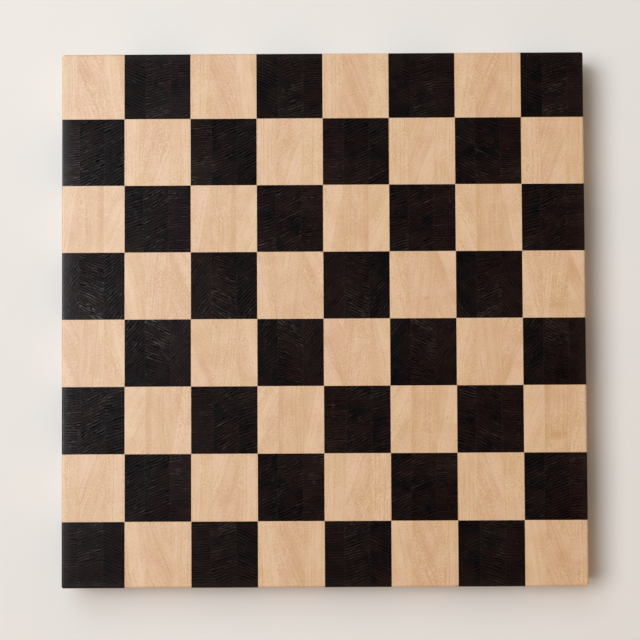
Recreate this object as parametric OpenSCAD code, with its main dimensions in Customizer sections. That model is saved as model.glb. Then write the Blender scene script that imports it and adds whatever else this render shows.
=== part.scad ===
// End-grain chessboard without a border. Every square is three staves standing on end, glued side
// by side. X runs from file a to file h, Y from rank 1 to rank 8, and Z is up out of the playing surface.

/* [Squares] */
// Width of a square along X, which is the planed thickness of the glued-up panel
square_x = 50.2; // [40:0.1:60]
// Length of a square along Y, which is the ripped width of one stick of the panel
square_y = 50.8; // [40:0.1:60]
// Thickness of the board, which is the length of the grain in every stave
board_t = 25.4; // [20:0.1:45]
// Width of the middle stave of a square, left at the full thickness of its stock
middle_stave = 19.05; // [12:0.05:26]

/* [Trim and edges] */
// Taken off files a and h when the sides are trimmed square
side_trim = 2.5; // [0.5:0.1:6]
// Taken off ranks 1 and 8 when the ends are trimmed square
end_trim = 1; // [0.5:0.1:6]
// Radius of the eased edges round the top and the underside
edge_r = 1.6; // [0.5:0.1:4]
// Radius of the four upright corners
corner_r = 1.5; // [0.5:0.1:6]

/* [Foot] */
// Height of a rubber foot
foot_h = 9; // [8.5:0.5:16]
// Diameter of a foot at the table, before its lower edge is rounded
foot_tip_d = 20; // [18:0.5:26]
// Slope of a foot's side from upright, in degrees
foot_draft = 8; // [0:1:15]
// Radius of a foot's lower edge
foot_edge_r = 1; // [0.5:0.1:2]
// Diameter of the recess that takes the screw's head
foot_recess_d = 10.5; // [9.5:0.5:12]
// Rubber between the washer and the board
foot_web = 3.6; // [2.5:0.1:4.5]

/* [Washer and screw] */
// Outer diameter of the steel washer moulded into the foot
washer_d = 13.5; // [12.5:0.5:15]
// Thickness of the washer
washer_t = 1.4; // [1:0.1:2]
// Diameter of the screw's shank
screw_d = 4.2; // [3.5:0.1:5]
// Depth to which the screw reaches into the board
screw_bite = 14; // [10:0.5:16]
// Length of the screw's point
screw_point = 3.5; // [2:0.5:6]
// Diameter of the screw's head
screw_head_d = 8; // [7:0.1:9]
// Height of the screw's head
screw_head_h = 2.8; // [2.2:0.1:3.2]
// Length of each arm of the cross recess, from end to end
drive_l = 4.4; // [3:0.1:6]
// Width of each arm of the cross recess
drive_w = 1.1; // [0.8:0.1:1.6]
// Depth of the cross recess
drive_depth = 1.6; // [1:0.1:2]
// Clearance all round the screw's shank in its holes
screw_gap = 0.1; // [0.05:0.05:0.3]

/* [Hidden] */
$fn = 96;
// How far a cutting shape runs past what it cuts
past = 5;

// The game sets the number of squares along a side
squares = 8;
FILES = ["a", "b", "c", "d", "e", "f", "g", "h"];
WOODS = ["dark", "light"];
PLACES = ["left", "middle", "right"];
LEFT = 0;
MIDDLE = 1;
RIGHT = 2;

// The panel's eight sticks were glued up before it was crosscut into files, so each stick's staves
// lie alike in every file. This is how far each stick's middle stave was glued off the middle.
stick_shift = [-0.4, 0.5, -0.3, 0.1, 0.2, 1.2, 0.6, -0.8];
// Every second file was turned half round to make the check, which reverses its sticks
turned_round = [false, true, false, true, false, true, false, true];
// One file was also glued in with its other face up, which swaps its left and right
turned_over = [false, false, false, false, false, false, true, false];

board_x = squares*square_x - 2*side_trim;
board_y = squares*square_y - 2*end_trim;
// A foot stands under the middle of each corner square
foot_x = (squares/2 - 0.5)*square_x;
foot_y = (squares/2 - 0.5)*square_y;

washer_z = foot_h - foot_web - washer_t;
screw_l = washer_t + foot_web + screw_bite;
hole_d = screw_d + 2*screw_gap;
foot_tip_r = foot_tip_d/2;
// Where the foot's side runs tangent off its rounded lower edge
foot_round = [foot_tip_r - foot_edge_r, foot_edge_r];
foot_tangent = foot_round + foot_edge_r*[cos(foot_draft), -sin(foot_draft)];
foot_top_r = foot_tangent.x + (foot_h - foot_tangent.y)*tan(foot_draft);
// The outer half of the screw head's height is the cap of a ball
head_cap_h = screw_head_h/2;
head_ball_r = (pow(screw_head_d/2, 2) + pow(head_cap_h, 2))/(2*head_cap_h);

wood_colour = ["#1f1715", "#d9b58c"];
rubber_colour = "#1b1b1c";
steel_colour = "#b9bbbd";

function stave_node(file, wood, place) =
    str("file_", FILES[file], "_", WOODS[wood], "_", PLACES[place], "_staves");

STAVE_NODES = [
    for (file = [0 : squares - 1])
        for (wood = [0 : 1])
            for (place = [LEFT : RIGHT]) stave_node(file, wood, place)
];
FOOT_NODES = ["foot_front_left", "foot_front_right", "foot_back_left", "foot_back_right"];
FOOT_SIDES = [[-1, -1], [1, -1], [-1, 1], [1, 1]];

// Square a1 is dark, and the woods alternate from there
function wood_at(file, rank) = (file + rank) % 2;

// Sticks are counted from rank 8 down in file a
function stick_at(file, rank) = turned_round[file] ? rank : squares - 1 - rank;

function mirrored(file) = turned_round[file] != turned_over[file];

function shift_at(file, rank) = (mirrored(file) ? -1 : 1)*stick_shift[stick_at(file, rank)];

// The left and right ends of one stave along X, measured from the middle of its square
function stave_ends(place, shift) =
    place == LEFT ? [-square_x/2, shift - middle_stave/2]
    : place == MIDDLE ? [shift - middle_stave/2, shift + middle_stave/2]
    : [shift + middle_stave/2, square_x/2];

function square_middle(file, rank) = [
    (file + 0.5 - squares/2)*square_x,
    (rank + 0.5 - squares/2)*square_y
];

module rounded_rectangle(size, r) {
    square([size.x - 2*r, size.y], center = true);
    square([size.x, size.y - 2*r], center = true);
    for (x = [-1, 1], y = [-1, 1])
        translate([x*(size.x/2 - r), y*(size.y/2 - r)]) circle(r);
}

// The trimmed and planed board as one block, with its edges and corners eased
module eased_board() {
    translate([0, 0, foot_h + board_t/2])
        intersection() {
            linear_extrude(board_t + 2*past, center = true)
                rounded_rectangle([board_x, board_y], corner_r);
            rotate([90, 0, 0])
                linear_extrude(board_y + 2*past, center = true)
                    rounded_rectangle([board_x, board_t], edge_r);
            rotate([90, 0, 90])
                linear_extrude(board_x + 2*past, center = true)
                    rounded_rectangle([board_y, board_t], edge_r);
        }
}

// One stave before the board was planed and trimmed
module stave_blank(file, rank, place) {
    middle = square_middle(file, rank);
    ends = stave_ends(place, shift_at(file, rank));
    translate([middle.x + ends[0], middle.y - square_y/2, foot_h - past])
        cube([ends[1] - ends[0], square_y, board_t + 2*past]);
}

module foot_screw_hole(side) {
    translate([side.x*foot_x, side.y*foot_y, foot_h - past])
        cylinder(h = past + screw_bite + screw_gap, d = hole_d);
}

// The four staves of one wood and one place in a file. Only the outer files carry feet.
module staves(file, wood, place) {
    color(wood_colour[wood])
        difference() {
            intersection() {
                for (rank = [0 : squares - 1])
                    if (wood_at(file, rank) == wood) stave_blank(file, rank, place);
                eased_board();
            }
            if (place == MIDDLE)
                for (side = FOOT_SIDES)
                    if (file == (side.x < 0 ? 0 : squares - 1)) foot_screw_hole(side);
        }
}

module foot_profile() {
    polygon([
        [0, 0],
        [foot_round.x, 0],
        foot_round,
        foot_tangent,
        [foot_top_r, foot_h],
        [0, foot_h]
    ]);
    translate(foot_round) circle(foot_edge_r);
}

// A drafted rubber foot, moulded round its washer
module foot(side) {
    color(rubber_colour)
        translate([side.x*foot_x, side.y*foot_y, 0])
            difference() {
                rotate_extrude() foot_profile();
                translate([0, 0, -past]) cylinder(h = past + washer_z + washer_t/2, d = foot_recess_d);
                translate([0, 0, washer_z]) cylinder(h = washer_t, d = washer_d);
                translate([0, 0, -past]) cylinder(h = foot_h + 2*past, d = hole_d);
            }
}

module foot_washer(side) {
    translate([side.x*foot_x, side.y*foot_y, washer_z])
        difference() {
            cylinder(h = washer_t, d = washer_d);
            translate([0, 0, -past]) cylinder(h = washer_t + 2*past, d = hole_d);
        }
}

// A pan head screw that points up into the board, with its head under the washer
module foot_screw(side) {
    translate([side.x*foot_x, side.y*foot_y, washer_z]) {
        difference() {
            translate([0, 0, -screw_head_h])
                intersection() {
                    cylinder(h = screw_head_h, d = screw_head_d);
                    translate([0, 0, head_ball_r]) sphere(head_ball_r);
                }
            for (turn = [0, 90])
                rotate(turn)
                    translate([-drive_l/2, -drive_w/2, -screw_head_h - past])
                        cube([drive_l, drive_w, past + drive_depth]);
        }
        cylinder(h = screw_l - screw_point, d = screw_d);
        translate([0, 0, screw_l - screw_point])
            cylinder(h = screw_point, d1 = screw_d, d2 = 0);
    }
}

module foot_washers() {
    color(steel_colour)
        for (side = FOOT_SIDES) foot_washer(side);
}

module foot_screws() {
    color(steel_colour)
        for (side = FOOT_SIDES) foot_screw(side);
}

for (file = [0 : squares - 1])
    for (wood = [0 : 1])
        for (place = [LEFT : RIGHT])
            staves(file, wood, place);
for (i = [0 : len(FOOT_NODES) - 1])
    foot(FOOT_SIDES[i]);
foot_washers();
foot_screws();
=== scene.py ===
# %% [markdown]
# # A chessboard of end-grain staves
#
# The real board is 192 short staves of two woods, all standing on end. This lesson dresses the
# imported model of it: each stave gets its eased edges and the grain of the stick that it was cut
# from, and the hidden feet underneath get their rubber and steel.
#
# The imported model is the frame. It gives every size and place in metres, and it isn't changed.

import math

import bmesh
import bpy
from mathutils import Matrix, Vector


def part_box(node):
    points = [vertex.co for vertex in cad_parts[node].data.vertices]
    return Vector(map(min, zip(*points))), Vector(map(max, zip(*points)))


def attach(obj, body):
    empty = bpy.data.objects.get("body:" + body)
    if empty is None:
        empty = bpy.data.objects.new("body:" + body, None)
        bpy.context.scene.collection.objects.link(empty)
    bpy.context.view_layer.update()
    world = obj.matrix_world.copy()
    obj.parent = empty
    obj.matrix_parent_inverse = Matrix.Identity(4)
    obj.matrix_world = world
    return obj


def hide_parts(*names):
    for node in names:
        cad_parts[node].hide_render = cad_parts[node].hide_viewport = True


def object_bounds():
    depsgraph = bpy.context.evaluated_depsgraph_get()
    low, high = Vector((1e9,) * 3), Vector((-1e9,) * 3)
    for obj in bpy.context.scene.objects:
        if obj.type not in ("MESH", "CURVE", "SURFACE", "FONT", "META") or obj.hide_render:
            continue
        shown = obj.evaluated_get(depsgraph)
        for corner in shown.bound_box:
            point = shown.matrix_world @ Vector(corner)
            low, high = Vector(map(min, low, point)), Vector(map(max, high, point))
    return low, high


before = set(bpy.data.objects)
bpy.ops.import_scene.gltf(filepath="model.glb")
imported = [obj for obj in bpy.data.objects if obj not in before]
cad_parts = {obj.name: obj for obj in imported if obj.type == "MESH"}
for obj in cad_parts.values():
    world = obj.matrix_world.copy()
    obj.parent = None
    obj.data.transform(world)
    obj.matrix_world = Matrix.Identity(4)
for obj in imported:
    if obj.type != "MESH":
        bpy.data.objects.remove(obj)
cad_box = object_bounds()
print("frame:", len(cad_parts), "nodes, from", tuple(cad_box[0]), "to", tuple(cad_box[1]))

# %% [markdown]
# ## The camera
#
# The board was photographed from about a metre above it, almost straight down. A long lens at that
# distance keeps the squares nearly square, and the small turns are those of a camera held by hand.

# %% Place the camera
LENS_MM = 50
SENSOR_MM = 24
CAMERA_PLACE = (-0.0001, -0.0342, 1.0422)
CAMERA_TURN_DEG = (1.885, 0.16, -0.285)


def deselect_all():
    bpy.ops.object.select_all(action="DESELECT")


def add_camera():
    deselect_all()
    turn = [math.radians(angle) for angle in CAMERA_TURN_DEG]
    bpy.ops.object.camera_add(location=CAMERA_PLACE, rotation=turn)
    camera = bpy.context.object
    camera.name = "camera"
    camera.data.lens = LENS_MM
    camera.data.sensor_width = SENSOR_MM
    bpy.context.scene.camera = camera
    return camera


print("camera:", tuple(add_camera().location))

# %% [markdown]
# ## Small helpers for materials
#
# A node tree could be built one link at a time, but it is easier to read as a recipe, where each
# line names one step. These helpers add a node, feed it plain values or the results of earlier
# steps, and hand back its result.

# %% Add a node and feed it
def feed(tree, socket, value):
    """A socket takes either a plain value or the result of another step."""
    if isinstance(value, bpy.types.NodeSocket):
        tree.links.new(value, socket)
    else:
        socket.default_value = value


def step(tree, kind, *values, **settings):
    """Adds a node, makes its settings, and feeds its first sockets in order."""
    made = tree.nodes.new(kind)
    for name, setting in settings.items():
        setattr(made, name, setting)
    sockets = [socket for socket in made.inputs if socket.enabled]
    for socket, value in zip(sockets, values):
        if value is not None:
            feed(tree, socket, value)
    return made


def result(made):
    return next(socket for socket in made.outputs if socket.enabled)


print("helpers:", feed.__name__, step.__name__, result.__name__)

# %% [markdown]
# Most steps are sums. Each kind of sum that the recipes need gets a short name: one operation, a
# total of weighted parts, a soft change from 0 to 1, a blend of two colours, and the three parts
# of a vector.

# %% Name the sums
def calc(tree, operation, *values):
    return result(step(tree, "ShaderNodeMath", *values, operation=operation))


def vector_calc(tree, operation, *values):
    return result(step(tree, "ShaderNodeVectorMath", *values, operation=operation))


def total(tree, first, *others):
    """Adds up a value and any number of (value, amount) pairs."""
    for value, amount in others:
        first = calc(tree, "MULTIPLY_ADD", value, amount, first)
    return first


def fade(tree, value, start, end):
    """0 before start, 1 after end, and smooth in between. It also runs backwards."""
    made = step(tree, "ShaderNodeMapRange", value, start, end, interpolation_type="SMOOTHSTEP")
    return result(made)


def blend_colours(tree, share, first, second):
    made = step(tree, "ShaderNodeMix", share, first, second, data_type="RGBA", clamp_factor=True)
    return result(made)


def split(tree, vector):
    return step(tree, "ShaderNodeSeparateXYZ", vector).outputs


print("sums:", calc.__name__, vector_calc.__name__, total.__name__, fade.__name__)

# %% [markdown]
# Every material starts alike: it gets a node tree with one Principled shader. What lies over a
# whole piece, such as oil or dust, is placed by the Object coordinates, which say in metres where a
# point is. Relief that is too fine to model is a bump.

# %% Start a material
def new_material(name):
    """A material with its node tree and its main shader."""
    material = bpy.data.materials.new(name)
    material.use_nodes = True
    return material, material.node_tree, material.node_tree.nodes["Principled BSDF"]


def object_place(tree):
    return tree.nodes.new("ShaderNodeTexCoord").outputs["Object"]


def add_bump(tree, shader, height, depth):
    """Relief. depth is how far a height of 1 stands out, in metres."""
    bump = step(tree, "ShaderNodeBump")
    bump.inputs["Strength"].default_value = 1.0
    bump.inputs["Distance"].default_value = depth
    feed(tree, bump.inputs["Height"], height)
    feed(tree, shader.inputs["Normal"], result(bump))


print("materials:", new_material.__name__, object_place.__name__, add_bump.__name__)

# %% [markdown]
# A shader counts light, and a colour level on a screen doesn't: half the level is only a fifth of
# the light. So colours are written as they look on a screen and converted here.

# %% Write colours as they look
def linear(level):
    """A colour level as it is written on a screen, 0 to 255, made linear for the shader."""
    level = level/255
    return level/12.92 if level <= 0.04045 else ((level + 0.055)/1.055)**2.4


def colour(red, green, blue):
    return (linear(red), linear(green), linear(blue), 1)


print("a middle grey is", round(linear(128), 3))

# %% [markdown]
# ## The room
#
# The light falls in from the left, as through tall windows. The board's shadow tells where they
# are: it falls to the right, it starts sharp and ends soft, and a fainter, warmer one falls toward
# the viewer. One large lamp overhead would lose both shadows. So a wide round lamp stands far off
# on the left for the windows, and a smaller, cooler one further round for the sky that they also
# let in.

# %% Hang the lamps
WINDOW_TILT_DEG = 31
WINDOW_SWING_DEG = 7
WINDOW_DISTANCE = 5.5
WINDOW_WIDTH = 3.0
WINDOW_WATTS = 206
WINDOW_COLOUR = (0.94, 1.0, 1.07)
SKY_TILT_DEG = 32
SKY_SWING_DEG = 60
SKY_DISTANCE = 2.35
SKY_WIDTH = 1.9
SKY_WATTS = 21.5
SKY_COLOUR = (0.76, 1.0, 1.15)


def lamp_place(tilt_deg, swing_deg, distance):
    """tilt is measured from upright, and swing from the board's left round to its far side."""
    tilt, swing = math.radians(tilt_deg), math.radians(swing_deg)
    level = distance*math.sin(tilt)
    return Vector((-level*math.cos(swing), level*math.sin(swing), distance*math.cos(tilt)))


def add_lamp(name, place, width, watts, lamp_colour):
    """A round area lamp that faces the middle of the board."""
    deselect_all()
    turn = place.to_track_quat("Z", "Y").to_euler()
    bpy.ops.object.light_add(type="AREA", location=place, rotation=turn)
    lamp = bpy.context.object
    lamp.name = name
    lamp.data.shape = "DISK"
    lamp.data.size = width
    lamp.data.energy = watts
    lamp.data.color = lamp_colour
    lamp.visible_camera = False
    print(name, "at", [round(c, 2) for c in place])
    return lamp


add_lamp(
    "window_light", lamp_place(WINDOW_TILT_DEG, WINDOW_SWING_DEG, WINDOW_DISTANCE),
    WINDOW_WIDTH, WINDOW_WATTS, WINDOW_COLOUR,
)
sky_light = add_lamp(
    "sky_light", lamp_place(SKY_TILT_DEG, SKY_SWING_DEG, SKY_DISTANCE),
    SKY_WIDTH, SKY_WATTS, SKY_COLOUR,
)
sky_light.visible_glossy = False

# %% [markdown]
# The world is the rest of the room: a dim, warm light from all sides. The oil mirrors it, and a
# pale sky in its place would turn the dark wood grey, so reflections keep the dim room. The camera
# alone sees a plain pale colour behind the board, and that colour lights nothing.

# %% Light the room from all sides
HORIZON_COLOUR = (0.29, 0.22, 0.16, 1)
OVERHEAD_COLOUR = (0.26, 0.15, 0.06, 1)
HORIZON_REACH = 0.35
FAR_COLOUR = (0.81, 0.775, 0.74, 1)


def seen_by_camera(tree):
    return tree.nodes.new("ShaderNodeLightPath").outputs["Is Camera Ray"]


def light_world():
    world = bpy.data.worlds.new("room")
    world.use_nodes = True
    tree = world.node_tree
    height = split(tree, tree.nodes.new("ShaderNodeTexCoord").outputs["Generated"])["Z"]
    upward = fade(tree, height, 0.0, HORIZON_REACH)
    room = blend_colours(tree, upward, HORIZON_COLOUR, OVERHEAD_COLOUR)
    shown = blend_colours(tree, seen_by_camera(tree), room, FAR_COLOUR)
    feed(tree, tree.nodes["Background"].inputs["Color"], shown)
    bpy.context.scene.world = world
    return world


print("world:", light_world().name)

# %% [markdown]
# The board lies on a plain pale floor, which takes its shadow. Past the reach of the lamps a floor
# turns dark, and more lamps would spoil the light on the board. So from half a metre out the
# camera sees it fade into the same pale colour as behind the board.

# %% Lay the floor
FLOOR_SIZE = 60
FLOOR_COLOUR = (0.80, 0.757, 0.715, 1)
FLOOR_ROUGHNESS = 0.9
FLOOR_GLOSS = 0.1
FADE_STARTS = 0.5
FADE_ENDS = 1.5


def floor_material():
    material, tree, shader = new_material("pale_floor")
    shader.inputs["Base Color"].default_value = FLOOR_COLOUR
    shader.inputs["Roughness"].default_value = FLOOR_ROUGHNESS
    shader.inputs["Specular IOR Level"].default_value = FLOOR_GLOSS
    far = tree.nodes.new("ShaderNodeEmission")
    far.inputs["Color"].default_value = FAR_COLOUR
    distance = vector_calc(tree, "DISTANCE", object_place(tree), (0, 0, 0))
    away = fade(tree, distance, FADE_STARTS, FADE_ENDS)
    share = calc(tree, "MULTIPLY", seen_by_camera(tree), away)
    mixed = step(tree, "ShaderNodeMixShader", share, shader.outputs[0], far.outputs[0])
    feed(tree, tree.nodes["Material Output"].inputs["Surface"], result(mixed))
    return material


def lay_floor():
    deselect_all()
    bpy.ops.mesh.primitive_plane_add(size=FLOOR_SIZE)
    floor = bpy.context.object
    floor.name = "floor"
    floor.data.materials.append(floor_material())


lay_floor()
bpy.context.scene.view_settings.view_transform = "Standard"
print("floor:", FLOOR_SIZE, "m across")

# %% [markdown]
# ## How the board was glued up
#
# Eight sticks, each laminated from three boards, were glued edge to edge into a striped panel. The
# panel was crosscut into eight files, and every second file was turned half round to make the
# check. File g was also glued in with its other face up. So the eight squares that come from one
# stick show the same end grain again and again, turned and mirrored.
#
# Each square could have a pattern of its own, but then the repeats would be lost. Instead each
# stave carries its own coordinates, measured in the stick that it was cut from. The wood's pattern
# is solid and reads them, so it also runs on down the sides of the board, as it does in real wood.

# %% Name the sizes of the glue-up
MM = 0.001
SQUARES = 8
SQUARE_X_MM = 50.2
SQUARE_Y_MM = 50.8
SAW_CUT_MM = 3.2
FILES = "abcdefgh"
WOODS = ("dark", "light")
PLACES = ("left", "middle", "right")
TURNED_ROUND = (1, 3, 5, 7)
TURNED_OVER = (6,)

board_low, board_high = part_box("file_b_dark_middle_staves")
BOARD_BOTTOM, BOARD_TOP = board_low.z, board_high.z
SLICE_MM = (BOARD_TOP - BOARD_BOTTOM)/MM + SAW_CUT_MM
print("board: from", round(BOARD_BOTTOM/MM, 2), "to", round(BOARD_TOP/MM, 2), "mm up")

# %% [markdown]
# Each stick's three boards were sawn from different places in a tree, so each has its own run of
# growth rings. The table says what each stave of a stick looks like to the eye: the direction in
# which its ring lines run, how wide its rings are, whether it is warm or cool, plain or lined, and
# where its zones of pale and dark wood change over. Only a few words and round numbers are needed,
# and the noise in the shader does the rest.

# %% Describe the staves of each stick
def stave(angle, ring, zones, warmth, lines, bend=0.0, fan=0.0, gloss=0.0):
    """angle is the ring lines' run, in degrees up from the right, and ring their spacing in mm.
    zones lists tone, edge, tone, edge, tone: tones from -1, dark, to 1, pale, and the edges in mm
    across the rings from the stave's middle. bend and fan curve the rings."""
    low_tone, low_edge, tone, high_edge, high_tone = zones
    return {
        "angle": math.radians(angle),
        "rings": (bend, fan, ring),
        "look": (warmth, lines, gloss),
        "tones": (low_tone, tone, high_tone),
        "edges": (low_edge, high_edge),
    }


STICKS = (
    (stave(90, 2.6, (0, -5, 0.4, 5, -0.1), 0, 0.6),
     stave(-68, 3.4, (-0.3, -5, -0.8, 6, -0.4), 0.6, 0.6, bend=0.003),
     stave(-82, 4.0, (-0.3, -5.5, 1, 5.2, -0.3), -0.3, 0.5, bend=-0.003)),
    (stave(4, 1.7, (0.4, -13, 0.1, -2, -0.3), 1, 0.8, gloss=1),
     stave(22, 2.1, (0, -12, -0.1, 4, -0.4), -0.3, 0.8),
     stave(27, 2.2, (-0.3, -9, 0, 6, 0.3), -0.5, 0.7)),
    (stave(80, 3.6, (-0.6, -2.2, 0.9, 1.5, 0.3), 0, 0.4, bend=0.002),
     stave(90, 3.1, (-1.4, -6.3, -0.4, 8.2, -1.2), -0.2, 1.2),
     stave(64, 4.6, (0.7, -7, 1.1, 2.2, 0.3), -0.3, 0.4)),
    (stave(52, 2.0, (0.2, -8, 0, 6, -0.1), 0.6, 0.5, gloss=1),
     stave(-22, 2.0, (1, -14, 0.3, 2, -0.4), 0.3, 1.1, fan=-0.005),
     stave(42, 2.1, (0.3, -10, 0, 8, -0.2), -0.7, 0.6, fan=0.008)),
    (stave(-64, 4.4, (0.6, -4.5, -0.9, 2, -0.3), 0.2, 0.5),
     stave(84, 2.6, (0.2, -3, -0.2, 4, -0.8), 0.2, 0.9),
     stave(-77, 4.2, (-0.4, 1.8, 1.3, 6, 0.5), -0.2, 0.3)),
    (stave(3, 1.8, (0.4, -12, 0.2, 8, 0), 1, 0.7, gloss=0.4),
     stave(27, 2.1, (0, -10, -0.1, 6, 0.1), 0, 0.9),
     stave(15, 2.3, (0.1, -8, 0, 12, 0.7), -0.3, 0.5)),
    (stave(89, 2.4, (-0.4, -5, 0.2, 4, 0), -0.6, 0.8),
     stave(71, 4.0, (-0.8, -5, -0.3, 5.3, 0.9), 0.4, 0.2),
     stave(90, 3.7, (0.5, -4, 0.6, 6, -0.4), -0.3, 0.4)),
    (stave(2, 1.9, (-0.1, -8, 0, 10, 0.1), 0.4, 0.4, gloss=1),
     stave(17, 2.1, (-0.3, -2, 0.2, 14, 0.7), -0.1, 0.9, gloss=0.6),
     stave(-24, 2.2, (-0.1, -8, 0, 8, -0.1), -0.4, 0.3, gloss=0.6)),
)
print("sticks:", len(STICKS), "of", len(STICKS[0]), "staves each")

# %% [markdown]
# ## Modelling the staves
#
# A stave is a planed block, so it starts as a cube at its own size and place. One slab with painted
# joints would be quicker, but each stave is a real piece with a mesh of its own. The sizes are read
# from the frame, whose nodes each hold the four staves of one wood and one place in a file.

# %% Measure the staves in the frame
HAIR = 1e-5


def square_middle(file, rank):
    return Vector((
        (file + 0.5 - SQUARES/2)*SQUARE_X_MM*MM,
        (rank + 0.5 - SQUARES/2)*SQUARE_Y_MM*MM,
    ))


def ranks_of(file, wood):
    """Square a1 is dark, and the woods alternate from there."""
    return [rank for rank in range(SQUARES) if (file + rank) % 2 == wood]


def in_rank(file, rank, point):
    """Whether a point of a file lies in one rank, its two ends included."""
    return abs(point.y - square_middle(file, rank).y) < SQUARE_Y_MM*MM/2 + HAIR


def stave_box(node, file, rank):
    """Lowest and highest corner of the node's stave in one rank."""
    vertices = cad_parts[node].data.vertices
    corners = [vertex.co for vertex in vertices if in_rank(file, rank, vertex.co)]
    low = Vector([min(c[axis] for c in corners) for axis in range(3)])
    high = Vector([max(c[axis] for c in corners) for axis in range(3)])
    return low, high


b2_low, b2_high = stave_box("file_b_dark_middle_staves", 1, 1)
print("b2's middle stave:", [round(side/MM, 2) for side in b2_high - b2_low], "mm")

# %% [markdown]
# Inside the board a stave's arrises are glued flush and stay sharp. Where it reaches the outside,
# the maker eased the edges after gluing, all staves at once. So only an edge that lies on two of
# the board's outer walls is bevelled, and the rounds of neighbouring staves meet without a step.

# %% Find the edges to ease
X_SIDE = cad_box[1].x
Y_SIDE = cad_box[1].y


def outside_walls(point):
    """Which of the board's outer walls a point lies on."""
    walls = set()
    if abs(abs(point.x) - X_SIDE) < HAIR:
        walls.add("x side")
    if abs(abs(point.y) - Y_SIDE) < HAIR:
        walls.add("y side")
    if abs(point.z - BOARD_TOP) < HAIR:
        walls.add("top")
    if abs(point.z - BOARD_BOTTOM) < HAIR:
        walls.add("underside")
    return walls


def select_eased_edges(piece):
    """Selects each edge where two of the board's outer walls meet, and returns how many."""
    mesh = bmesh.from_edit_mesh(piece.data)
    bpy.ops.mesh.select_all(action="DESELECT")
    for edge in mesh.edges:
        shared = outside_walls(edge.verts[0].co) & outside_walls(edge.verts[1].co)
        edge.select_set(len(shared) == 2)
    bmesh.update_edit_mesh(piece.data)
    return sum(edge.select for edge in mesh.edges)


board_corner = Vector((X_SIDE, Y_SIDE, BOARD_TOP))
print("a corner of the board lies on:", sorted(outside_walls(board_corner)))

# %% [markdown]
# The four staves over the feet are drilled from below for the screws. The hole is a cylinder that a
# Boolean modifier takes out of the stave. It starts as far below the board as it reaches into it,
# so that none of its faces lies flush with the underside.

# %% Drill the screw holes
HOLE_R_MM = 2.2
HOLE_DEPTH_MM = 14.1
HOLE_SIDES = 32
foot_low, foot_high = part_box("foot_back_right")
FOOT_MIDDLE = (foot_low + foot_high)/2
FOOT_PLACES = [(x*FOOT_MIDDLE.x, y*FOOT_MIDDLE.y) for x in (-1, 1) for y in (-1, 1)]


def start_piece(name):
    """An empty mesh object, alone in the selection and ready for edit mode."""
    deselect_all()
    piece = bpy.data.objects.new(name, bpy.data.meshes.new(name))
    bpy.context.scene.collection.objects.link(piece)
    bpy.context.view_layer.objects.active = piece
    piece.select_set(True)
    return piece


def cut_with(piece, cutter):
    """Takes the cutter's shape out of the piece, and removes the cutter."""
    deselect_all()
    bpy.context.view_layer.objects.active = piece
    piece.select_set(True)
    modifier = piece.modifiers.new("cut", "BOOLEAN")
    modifier.operation = "DIFFERENCE"
    modifier.solver = "EXACT"
    modifier.object = cutter
    bpy.ops.object.modifier_apply(modifier=modifier.name)
    bpy.data.objects.remove(cutter)


def drill_screw_holes(piece, boxes):
    """Drills up from the underside wherever a foot's screw goes into one of the boxes."""
    for x, y in FOOT_PLACES:
        if any(low.x < x < high.x and low.y < y < high.y for low, high in boxes):
            drill = start_piece("drill")
            bpy.ops.object.mode_set(mode="EDIT")
            bpy.ops.mesh.primitive_cylinder_add(
                vertices=HOLE_SIDES, radius=HOLE_R_MM*MM, depth=2*HOLE_DEPTH_MM*MM,
                location=(x, y, BOARD_BOTTOM),
            )
            bpy.ops.object.mode_set(mode="OBJECT")
            cut_with(piece, drill)
            print(piece.name, "drilled at", round(x/MM, 1), round(y/MM, 1))


print("feet at", [(round(x/MM, 1), round(y/MM, 1)) for x, y in FOOT_PLACES])

# %% [markdown]
# Now a node's piece can be made: its blocks, the eased edges, the holes, and last the normals. With
# smooth shading alone a round would tint the flat face beside it. Weighted normals let the large
# faces lead, so they stay flat and only the rounds shade smoothly.

# %% Model one node's staves
EASED_MM = 1.6
EASED_STEPS = 6
SMOOTH_UNDER_DEG = 35


def finish_normals(piece):
    """Smooth over the rounds, while the large flat faces keep their own normals."""
    bpy.ops.object.shade_smooth_by_angle(angle=math.radians(SMOOTH_UNDER_DEG))
    modifier = piece.modifiers.new("flat_faces_lead", "WEIGHTED_NORMAL")
    modifier.keep_sharp = True
    bpy.ops.object.modifier_apply(modifier=modifier.name)


def model_staves(name, boxes):
    piece = start_piece(name)
    bpy.ops.object.mode_set(mode="EDIT")
    bpy.ops.mesh.select_mode(type="EDGE")
    for low, high in boxes:
        bpy.ops.mesh.primitive_cube_add(size=1, location=(low + high)/2, scale=high - low)
    if select_eased_edges(piece):
        bpy.ops.mesh.bevel(offset=EASED_MM*MM, segments=EASED_STEPS, profile=0.5, affect="EDGES")
    bpy.ops.object.mode_set(mode="OBJECT")
    drill_screw_holes(piece, boxes)
    finish_normals(piece)
    return piece


print("edges eased by", EASED_MM, "mm in", EASED_STEPS, "steps")

# %% [markdown]
# ## Each stave's place in its stick
#
# To find its grain, a point of the board is moved back to where it lay in its stick, before the
# files were cut, turned and glued. The files came off the panel one after the other, a saw cut
# apart, so the way up the fibres goes on from file to file.

# %% Find a point's place in its stick
def place_in_stick(file, rank, point):
    """A point of the board, measured in millimetres in the stick that it was cut from."""
    turned, over = file in TURNED_ROUND, file in TURNED_OVER
    x, y = (point.xy - square_middle(file, rank))/MM
    sideways = -x if turned != over else x
    endways = -y if turned else y
    height = (BOARD_TOP - point.z if over else point.z - BOARD_BOTTOM)/MM
    return sideways, endways, file*SLICE_MM + height


def stave_in_stick(file, rank, place):
    """The stick that a stave was cut from, and its place in that stick."""
    stick = rank if file in TURNED_ROUND else SQUARES - 1 - rank
    mirrored = (file in TURNED_ROUND) != (file in TURNED_OVER)
    return stick, len(PLACES) - 1 - place if mirrored else place


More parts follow.
